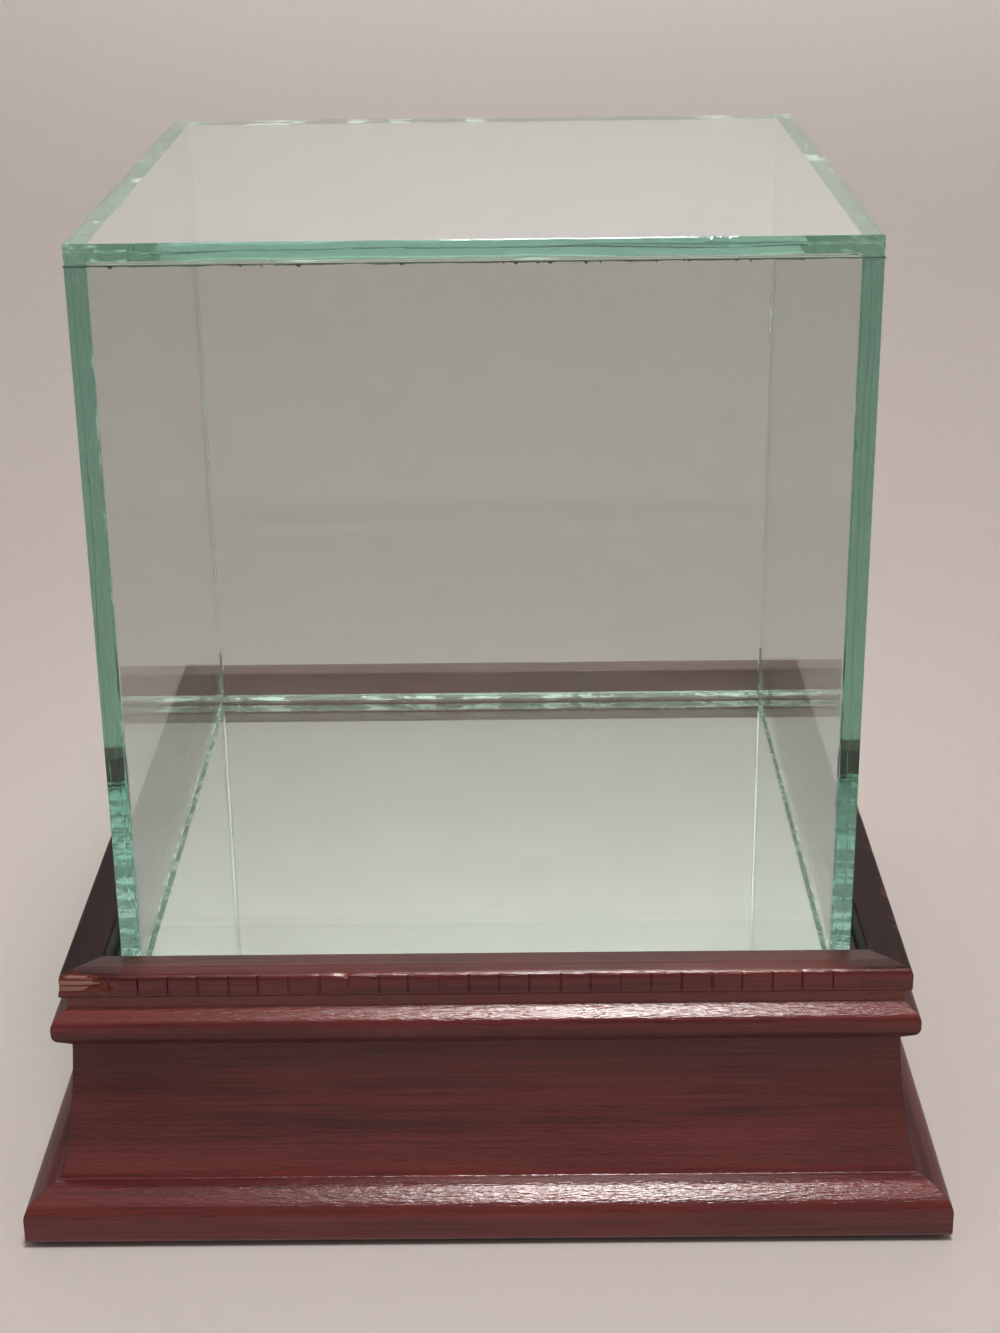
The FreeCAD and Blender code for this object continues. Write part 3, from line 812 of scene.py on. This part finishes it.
def rail_point(place, out, height, cuts):
    """A point of the front rail: set back in a saw cut, and drawn along to the mitre near an end."""
    for at, half, depth, foot in cuts:
        if height > foot and abs(place - at) < half:
            slope = min(1.0, (half - abs(place - at)) / (half - KERF_FLOOR * half))
            out = min(out, LIP - depth * slope)
    if abs(place) > STRAIGHT:
        stretch = (INNER + out - MITRE_CLEARANCE - STRAIGHT) / (LIP_HALF - STRAIGHT)
        place = math.copysign(STRAIGHT + (abs(place) - STRAIGHT) * stretch, place)
    return Vector((place, -(INNER + out), height + RAIL_FOOT))


def stain_and_shade_at(out, height, rim):
    """The stain at a point of the profile, with painted light and shade in it. The flat top and the inner
    face are the rim.
    """
    if out <= LEDGE or height >= lip_top:
        return rim
    levels = STAIN_AND_SHADE + [(lip_top, rim)]
    for (low, below), (high, above) in zip(levels, levels[1:]):
        if height <= high:
            return below + (above - below) * max(0.0, height - low) / (high - low)


def patchy(place, height):
    """How much darker the outer side is at a place."""
    extra = 0.0
    for at, level, long, high, stain_and_shade in PATCHES:
        extra += stain_and_shade * max(0.0, 1.0 - math.hypot((place - at) / long, (height - level) / high))
    return extra


def rim_stain_and_shade(node, place):
    """How dark the flat rim of a rail is at a place along it. On the side lengths it is painted almost black,
    and on the other two darker next to the mitres: painted shade.
    """
    if node in SIDE_LENGTHS:
        return 1.0
    share = (abs(place) - CORNER_START) / (CORNER_END - CORNER_START)
    return RIM_STAIN + (CORNER_SHADE - RIM_STAIN) * min(1.0, max(0.0, share))


def rail(node, degrees, seed, material):
    cuts = saw_cuts(seed)
    places = sections(cuts)
    around = len(profile)
    across = [0.0]
    for (here, _), (there, _) in zip(profile, profile[1:]):
        across.append(across[-1] + (there - here).length)
    spin = Matrix.Rotation(math.radians(degrees), 3, "Z")
    # painted shade: the side lengths are darker all over
    side_shade = SIDE_SHADE if node in SIDE_LENGTHS else 0.0
    points, worn, stains_and_shade, along = [], [], [], []
    for place in places:
        for (out, height), _ in profile:
            straight = rail_point(place, out, height, cuts)
            point, wear = scarred(spin @ straight)
            points.append(point)
            worn.append(wear)
            stain_and_shade = stain_and_shade_at(out, height, rim_stain_and_shade(node, straight.x))
            stains_and_shade.append(stain_and_shade + patchy(straight.x, height) + side_shade)
            along.append(straight.x)
    faces = skin(len(places), around) + caps(len(places), around)
    piece = new_piece(f"{node}_lacquered", points, faces, material, "base", "mahogany_lacquer", node)
    piece.data.attributes.new("wear", "FLOAT", "POINT").data.foreach_set("value", worn)
    piece.data.attributes.new("stain_and_shade", "FLOAT", "POINT").data.foreach_set("value", stains_and_shade)
    grain = piece.data.uv_layers.new(name="grain")
    for loop in piece.data.loops:
        index = loop.vertex_index
        grain.uv[loop.index].vector = (along[index] * MM, across[index % around] * MM + 0.2 * seed)
    for line in piece.data.edges:
        one, two = line.vertices
        if one % around == two % around and profile[one % around][1]:
            line.use_edge_sharp = True
    return piece


# %% [markdown]
# The wood is a plain, close-grained kind, stained red-brown and sprayed with a semi-gloss lacquer.
# Its fibres run along each rail as fine streaks, with broader bands and warmer clouds behind them and
# short dark pores. The lacquer follows the pores and has sunk a little between the fibres, which draws
# its highlights out across the grain and breaks them up. It is duller on the two side lengths, and where
# the stain and painted shade are darkest. The number that holds the stain also holds painted light and
# shade: its light end is stain wiped thin and painted light, its dark end built-up stain and painted
# shade. Pores of a tenth of a millimetre would not show in the picture, so they are drawn coarser.

# %% Mahogany finish
# length and width of the spots that make up the figure of the wood, in millimetres
FIBRE_MM, BAND_MM, CLOUD_MM = (24.0, 0.55), (110.0, 4.5), (50.0, 16.0)
PORE_MM, PORE_DEPTH = (3.2, 0.3), 0.05
SUNK_MM, SUNK_DEPTH = (3.2, 0.4), 0.1
# share of the shine that is lost where the stain and painted shade are at their darkest
SHINE_LOST = 0.7


def streaks(tree, grain, long_mm, wide_mm, detail):
    """Noise drawn out along the grain, in spots of about this length and width."""
    place = add(tree, "ShaderNodeMapping", {
        "Scale": (1 / (long_mm * MM), 1 / (wide_mm * MM), 1.0),
    }, {"Vector": grain})
    spots = add(tree, "ShaderNodeTexNoise", {"Scale": 1.0, "Detail": detail, "Roughness": 0.6}, {
        "Vector": place.outputs["Vector"],
    })
    return spots.outputs["Fac"]


def mahogany(name, gloss):
    material, tree = new_material(name)
    grain = add(tree, "ShaderNodeUVMap", {"uv_map": "grain"}).outputs["UV"]
    wear = add(tree, "ShaderNodeAttribute", {"attribute_name": "wear"}).outputs["Fac"]
    stain_and_shade = add(tree, "ShaderNodeAttribute", {"attribute_name": "stain_and_shade"}).outputs["Fac"]
    fibre = streaks(tree, grain, *FIBRE_MM, 4.0)
    band = streaks(tree, grain, *BAND_MM, 3.0)
    cloud = streaks(tree, grain, *CLOUD_MM, 2.0)
    pore = streaks(tree, grain, *PORE_MM, 1.0)
    sunk = streaks(tree, grain, *SUNK_MM, 2.0)
    figure = add(tree, "ShaderNodeMix", {"data_type": "FLOAT", 0: 0.45}, {2: fibre, 3: band})
    depth = add(tree, "ShaderNodeMapRange", {"From Min": 0.38, "From Max": 0.62}, {
        "Value": figure.outputs[0],
    })
    brushed = add(tree, "ShaderNodeMix", {
        "data_type": "RGBA", 6: linear("320D10"), 7: linear("6B2529"),
    }, {0: depth.outputs["Result"]})
    patch = add(tree, "ShaderNodeMapRange", {
        "From Min": 0.4, "From Max": 0.8, "To Max": 0.6,
    }, {"Value": cloud})
    warm = add(tree, "ShaderNodeMix", {"data_type": "RGBA", 7: linear("783028")}, {
        0: patch.outputs["Result"], 6: brushed.outputs[2],
    })
    # the light end: stain wiped thin, and painted light in the fillet and at the foot of the cove
    wiped = add(tree, "ShaderNodeMapRange", {"From Min": 0.0, "From Max": -1.0}, {"Value": stain_and_shade})
    thin_stain_and_light = add(tree, "ShaderNodeMix", {"data_type": "RGBA", 7: linear("8C4234")}, {
        0: wiped.outputs["Result"], 6: warm.outputs[2],
    })
    # the dark end: built-up stain, and painted shade under the bead, up the cove, on the side rims and next
    # to the mitres
    dark_stain_and_shade = add(tree, "ShaderNodeMix", {
        "data_type": "RGBA", 6: linear("120A0B"), 7: linear("241213"),
    }, {0: depth.outputs["Result"]})
    stained_and_shaded = add(tree, "ShaderNodeMix", {"data_type": "RGBA", "clamp_factor": True}, {
        0: stain_and_shade, 6: thin_stain_and_light.outputs[2], 7: dark_stain_and_shade.outputs[2],
    })
    pit = add(tree, "ShaderNodeMapRange", {"From Min": 0.6, "From Max": 0.72, "To Max": 0.4}, {"Value": pore})
    pored = add(tree, "ShaderNodeMix", {"data_type": "RGBA", 7: linear("2C0C0A")}, {
        0: pit.outputs["Result"], 6: stained_and_shaded.outputs[2],
    })
    rubbed = add(tree, "ShaderNodeMapRange", {"From Min": 0.1, "From Max": 0.45}, {"Value": wear})
    brown = add(tree, "ShaderNodeMix", {"data_type": "RGBA", 7: linear("5E2E22")}, {
        0: rubbed.outputs["Result"], 6: pored.outputs[2],
    })
    torn = add(tree, "ShaderNodeMath", {"operation": "MULTIPLY_ADD", 1: 1.2}, {0: wear, 2: fibre})
    gone = add(tree, "ShaderNodeMapRange", {"From Min": 1.58, "From Max": 1.7}, {
        "Value": torn.outputs["Value"],
    })
    bare = add(tree, "ShaderNodeMix", {"data_type": "RGBA", 7: linear("94716A")}, {
        0: gone.outputs["Result"], 6: brown.outputs[2],
    })
    lacquer = add(tree, "ShaderNodeMapRange", {
        "From Min": 0.35, "From Max": 0.8, "To Min": gloss, "To Max": 0.0,
    }, {"Value": wear})
    sunk_in = add(tree, "ShaderNodeMath", {
        "operation": "MULTIPLY_ADD", "use_clamp": True, 1: -SHINE_LOST, 2: 1.0,
    }, {0: stain_and_shade})
    shine = add(tree, "ShaderNodeMath", {"operation": "MULTIPLY"}, {
        0: lacquer.outputs["Result"], 1: sunk_in.outputs["Value"],
    })
    pores = add(tree, "ShaderNodeBump", {"Strength": 0.5, "Distance": PORE_DEPTH * MM, "invert": True}, {
        "Height": pit.outputs["Result"],
    })
    sprayed = add(tree, "ShaderNodeBump", {"Strength": 1.0, "Distance": SUNK_DEPTH * MM}, {"Height": sunk})
    shader = add(tree, "ShaderNodeBsdfPrincipled", {
        "Roughness": 0.42, "Specular IOR Level": 0.4 * gloss, "Specular Tint": linear("D86850"),
        "Coat Roughness": 0.2, "Coat IOR": 1.54,
    }, {
        "Base Color": bare.outputs[2], "Coat Weight": shine.outputs["Value"],
        "Normal": pores.outputs["Normal"], "Coat Normal": sprayed.outputs["Normal"],
    })
    add(tree, "ShaderNodeOutputMaterial", {}, {"Surface": shader.outputs["BSDF"]})
    return material


semi_gloss = mahogany("mahogany_stain_semi_gloss_lacquer", 0.92)
dull = mahogany("mahogany_stain_dull_lacquer", 0.35)
RAILS = {"front_rail": (0, semi_gloss), "right_rail": (90, dull),
         "back_rail": (180, semi_gloss), "left_rail": (270, dull)}
for seed, (node, (degrees, lacquer)) in enumerate(RAILS.items()):
    piece = rail(node, degrees, seed, lacquer)
    print(piece.name, len(piece.data.vertices), "points")

# %% [markdown]
# The underside is closed by a hardboard panel, screwed to glue blocks in the corners, and the case
# stands on four discs of felt. The screws have cross recesses, and the felt has a soft, uneven rim.

# %% Underside
FELT_AROUND = 72
SCREW_AROUND = 48
HEAD_RADIUS, SHANK_RADIUS, HEAD_EASE = 2.8, 1.4, 0.12
RECESS_ARM, RECESS_HALF_WIDTH, RECESS_DEPTH = 1.55, 0.38, 1.1
SCREW_POINT = 3.0
SPECKLE_DEPTH = 0.1
FELT_FUZZ = 0.08


def speckled(name, dark, pale, size_mm, stretch, roughness, metallic=0.0):
    """A finish of two close colours in spots of a real size, drawn out along one axis."""
    material, tree = new_material(name)
    place = add(tree, "ShaderNodeTexCoord").outputs["Object"]
    drawn = add(tree, "ShaderNodeMapping", {"Scale": (1 / stretch, 1.0, 1.0)}, {"Vector": place})
    grain = add(tree, "ShaderNodeTexNoise", {"Scale": 1 / (size_mm * MM), "Detail": 6.0}, {
        "Vector": drawn.outputs["Vector"],
    })
    tone = add(tree, "ShaderNodeMix", {
        "data_type": "RGBA", 6: linear(dark), 7: linear(pale),
    }, {0: grain.outputs["Fac"]})
    bump = add(tree, "ShaderNodeBump", {"Strength": 0.3, "Distance": SPECKLE_DEPTH * MM}, {
        "Height": grain.outputs["Fac"],
    })
    shader = add(tree, "ShaderNodeBsdfPrincipled", {"Roughness": roughness, "Metallic": metallic}, {
        "Base Color": tone.outputs[2], "Normal": bump.outputs["Normal"],
    })
    add(tree, "ShaderNodeOutputMaterial", {}, {"Surface": shader.outputs["BSDF"]})
    return material


def felt_disc(corner, material):
    """A die-cut disc of felt. Its layers are shares of its height, with the inset of the rim there."""
    low, high = box_mm(f"{corner}_pad")
    middle, radius = (low + high) / 2, (high.x - low.x) / 2
    layers = [(0.0, 0.5), (0.12, 0.16), (0.5, 0.02), (0.88, 0.16), (1.0, 0.5)]
    points = []
    for share, inset in layers:
        for i in range(FELT_AROUND):
            angle = -2 * math.pi * i / FELT_AROUND
            fuzz = FELT_FUZZ * (1 + ripple(i, 2.3, middle.x + share) + ripple(i, 9.0, middle.y))
            reach = radius - inset - max(0.0, fuzz)
            points.append((middle.x + reach * math.cos(angle), middle.y + reach * math.sin(angle),
                           low.z + share * (high.z - low.z)))
    faces = skin(len(layers), FELT_AROUND) + caps(len(layers), FELT_AROUND)
    piece = new_piece(f"{corner}_felt", points, faces, material, "base", "felt", f"{corner}_pad")


def cross(angle):
    """How far the cross recess reaches in this direction."""
    c, s = abs(math.cos(angle)) + 1e-9, abs(math.sin(angle)) + 1e-9
    return max(min(RECESS_ARM / c, RECESS_HALF_WIDTH / s), min(RECESS_HALF_WIDTH / c, RECESS_ARM / s))


def screws(material):
    """Four countersunk screws, each from the floor of its recess out over the head to the point."""
    low, high = box_mm("panel_screws")
    places = [(x, y) for x in (low.x + HEAD_RADIUS, high.x - HEAD_RADIUS)
              for y in (low.y + HEAD_RADIUS, high.y - HEAD_RADIUS)]
    lathe = [(HEAD_RADIUS - HEAD_EASE, 0.0), (HEAD_RADIUS, HEAD_EASE),
             (SHANK_RADIUS, HEAD_RADIUS - SHANK_RADIUS),
             (SHANK_RADIUS, high.z - low.z - SCREW_POINT), (0.1, high.z - low.z)]
    points, faces = [], []
    for number, (x, y) in enumerate(places):
        start = len(points)
        angles = [-2 * math.pi * i / SCREW_AROUND for i in range(SCREW_AROUND)]
        rings = [[(0.45 * cross(a), RECESS_DEPTH) for a in angles], [(cross(a), 0.0) for a in angles]]
        rings += [[spot] * SCREW_AROUND for spot in lathe]
        for ring in rings:
            for angle, (reach, height) in zip(angles, ring):
                turned = angle + number
                points.append((x + reach * math.cos(turned), y + reach * math.sin(turned), low.z + height))
        shell = skin(len(rings), SCREW_AROUND) + caps(len(rings), SCREW_AROUND)
        faces += [[start + i for i in face] for face in shell]
    new_piece("panel_screws_zinc", points, faces, material, "base", "zinc_steel", "panel_screws")


hardboard = speckled("hardboard_pressed", "3A2618", "5A3E28", 1.2, 1.0, 0.6)
softwood = speckled("pine_sawn", "B08A5C", "D0AC7C", 1.6, 9.0, 0.8)
felt = speckled("wool_felt", "1C1A1A", "343030", 0.4, 1.0, 1.0)
zinc = speckled("zinc_plated_steel", "9A9A96", "B8B8B4", 2.0, 1.0, 0.35, metallic=1.0)
for node in ("mirror_board", "bottom_panel"):
    dress(node, hardboard)
for corner in CORNERS:
    dress(f"{corner}_block", softwood)
    felt_disc(corner, felt)
screws(zinc)
print("underside dressed")

# %% [markdown]
# The stage is a wide sheet of pale card that runs along the floor and bends up behind the case, so
# that the glass has something pale to show. Only its front is solid: a camera behind it looks
# through it at the back of the case. A soft lamp hangs high above the front of the case, and its
# light runs along the lip, the bead and the foot. A second one washes the card from above, so that it
# gets paler upwards, and the mirror, which shows its upper part, with it. The room is dim all round
# and brighter overhead. Far from the case, where the lamps don't reach, the card and the room are
# shown in one pale tone to a camera that looks at them directly, through glass or in the mirror. That
# tone gives no light: what shines on the case, or wanders about in a pane's edge, is the dim room's.
# The same tone hides the glare high on the card, next to the lamp, from a camera that looks at it directly.

# %% Stage and light
CARD_HALF, CARD_FRONT, BEND_START, BEND_RADIUS, CARD_TOP = 4000.0, -4000.0, 260.0, 200.0, 1200.0
BEND_STEPS = 24
PALE = "CFC6C2"
CARD_FIBRE_MM = 3.0
ROOM_STRENGTH = 0.5
LIT_MIDDLE, LIT_REACH, PALE_FROM = 110.0, 430.0, 900.0
GLARE_FROM, GLARE_HIDDEN = 160.0, 330.0
# place, aim, width and height in millimetres, watts, colour, spread in degrees
LAMPS = {
    "lamp_above_front": ((50, -290, 830), (0, 0, 60), 120, 220, 4.6, "FFFDFA", 180),
    "lamp_over_card": ((60, 60, 520), (60, 460, 450), 600, 120, 1.63, "EDF8FB", 80),
}


def looked_at(tree):
    """1 for a look that comes straight, through glass or by one reflection, and 0 for stray light."""
    path = add(tree, "ShaderNodeLightPath")
    look = add(tree, "ShaderNodeMath", {"operation": "MAXIMUM"}, {
        0: path.outputs["Is Camera Ray"], 1: path.outputs["Is Transmission Ray"],
    })
    short = add(tree, "ShaderNodeMath", {"operation": "LESS_THAN", 1: 1.5}, {0: path.outputs["Glossy Depth"]})
    return add(tree, "ShaderNodeMath", {"operation": "MULTIPLY"}, {
        0: look.outputs["Value"], 1: short.outputs["Value"],
    }).outputs["Value"]


def card():
    material, tree = new_material("matt_card")
    place = add(tree, "ShaderNodeTexCoord").outputs["Object"]
    fibre = add(tree, "ShaderNodeTexNoise", {"Scale": 1 / (CARD_FIBRE_MM * MM), "Detail": 4.0}, {
        "Vector": place,
    })
    tone = add(tree, "ShaderNodeMix", {
        "data_type": "RGBA", 6: linear("CDC3BF"), 7: linear("D1C7C3"),
    }, {0: fibre.outputs["Fac"]})
    shader = add(tree, "ShaderNodeBsdfPrincipled", {"Roughness": 0.9, "Specular IOR Level": 0.1}, {
        "Base Color": tone.outputs[2],
    })
    apart = add(tree, "ShaderNodeMapping", {
        "Location": (0.0, -LIT_MIDDLE * MM, 0.0), "Scale": (1.0, 1.0, 0.0),
    }, {"Vector": place})
    reach = add(tree, "ShaderNodeVectorMath", {"operation": "LENGTH"}, {0: apart.outputs["Vector"]})
    far = add(tree, "ShaderNodeMapRange", {
        "interpolation_type": "SMOOTHSTEP", "From Min": LIT_REACH * MM, "From Max": PALE_FROM * MM,
    }, {"Value": reach.outputs["Value"]})
    faded = add(tree, "ShaderNodeMath", {"operation": "MULTIPLY"}, {
        0: far.outputs["Result"], 1: looked_at(tree),
    })
    height = add(tree, "ShaderNodeSeparateXYZ", {}, {"Vector": place})
    glare = add(tree, "ShaderNodeMapRange", {
        "interpolation_type": "SMOOTHSTEP", "From Min": GLARE_FROM * MM, "From Max": GLARE_HIDDEN * MM,
    }, {"Value": height.outputs["Z"]})
    path = add(tree, "ShaderNodeLightPath")
    hidden = add(tree, "ShaderNodeMath", {"operation": "MULTIPLY"}, {
        0: glare.outputs["Result"], 1: path.outputs["Is Camera Ray"],
    })
    even = add(tree, "ShaderNodeMath", {"operation": "MAXIMUM"}, {
        0: faded.outputs["Value"], 1: hidden.outputs["Value"],
    })
    pale = add(tree, "ShaderNodeEmission", {"Color": linear(PALE)})
    wide = add(tree, "ShaderNodeMixShader", {}, {
        0: even.outputs["Value"], 1: shader.outputs["BSDF"], 2: pale.outputs["Emission"],
    })
    unseen = add(tree, "ShaderNodeBsdfTransparent")
    side = add(tree, "ShaderNodeNewGeometry")
    front_only = add(tree, "ShaderNodeMixShader", {}, {
        0: side.outputs["Backfacing"], 1: wide.outputs["Shader"], 2: unseen.outputs["BSDF"],
    })
    add(tree, "ShaderNodeOutputMaterial", {}, {"Surface": front_only.outputs["Shader"]})
    return material


def card_sweep():
    run = [(CARD_FRONT, 0.0)]
    for step in range(BEND_STEPS + 1):
        angle = math.pi / 2 * step / BEND_STEPS
        run.append((BEND_START + BEND_RADIUS * math.sin(angle), BEND_RADIUS * (1 - math.cos(angle))))
    run.append((BEND_START + BEND_RADIUS, CARD_TOP))
    points = [Vector((x, y, z)) * MM for y, z in run for x in (CARD_HALF, -CARD_HALF)]
    mesh = bpy.data.meshes.new("card_sweep")
    mesh.from_pydata(points, [], skin(len(run), 2, tube=False))
    mesh.shade_smooth()
    mesh.materials.append(card())
    sweep = bpy.data.objects.new("card_sweep", mesh)
    scene.collection.objects.link(sweep)


def soft_lamp(name, place_mm, aim_mm, wide_mm, high_mm, watts, colour, spread_degrees):
    lamp = bpy.data.lights.new(name, "AREA")
    lamp.shape = "RECTANGLE"
    lamp.size, lamp.size_y = wide_mm * MM, high_mm * MM
    lamp.energy = watts
    lamp.color = linear(colour)[:3]
    lamp.spread = math.radians(spread_degrees)
    holder = bpy.data.objects.new(name, lamp)
    scene.collection.objects.link(holder)
    place, aim = Vector(place_mm) * MM, Vector(aim_mm) * MM
    facing = (aim - place).to_track_quat("-Z", "Y").to_matrix().to_4x4()
    holder.matrix_world = Matrix.Translation(place) @ facing


def dim_room():
    world = bpy.data.worlds.new("dim_room")
    scene.world = world
    world.use_nodes = True
    tree = world.node_tree
    tree.nodes.clear()
    direction = add(tree, "ShaderNodeTexCoord").outputs["Generated"]
    split = add(tree, "ShaderNodeSeparateXYZ", {}, {"Vector": direction})
    tone = add(tree, "ShaderNodeMix", {
        "data_type": "RGBA", 6: linear("7C7A78"), 7: linear("EEECE8"),
    }, {0: split.outputs["Z"]})
    room = add(tree, "ShaderNodeBackground", {"Strength": ROOM_STRENGTH}, {"Color": tone.outputs[2]})
    pale = add(tree, "ShaderNodeBackground", {"Color": linear(PALE)})
    shown = add(tree, "ShaderNodeMixShader", {}, {
        0: looked_at(tree), 1: room.outputs["Background"], 2: pale.outputs["Background"],
    })
    add(tree, "ShaderNodeOutputWorld", {}, {"Surface": shown.outputs["Shader"]})


card_sweep()
for name, lamp in LAMPS.items():
    soft_lamp(name, *lamp)
dim_room()

# light in a pane's edge is thrown from face to face many times before it comes out
scene.cycles.max_bounces = 40
scene.cycles.glossy_bounces = 32
scene.cycles.transmission_bounces = 32
scene.cycles.transparent_max_bounces = 24
print("stage lit")
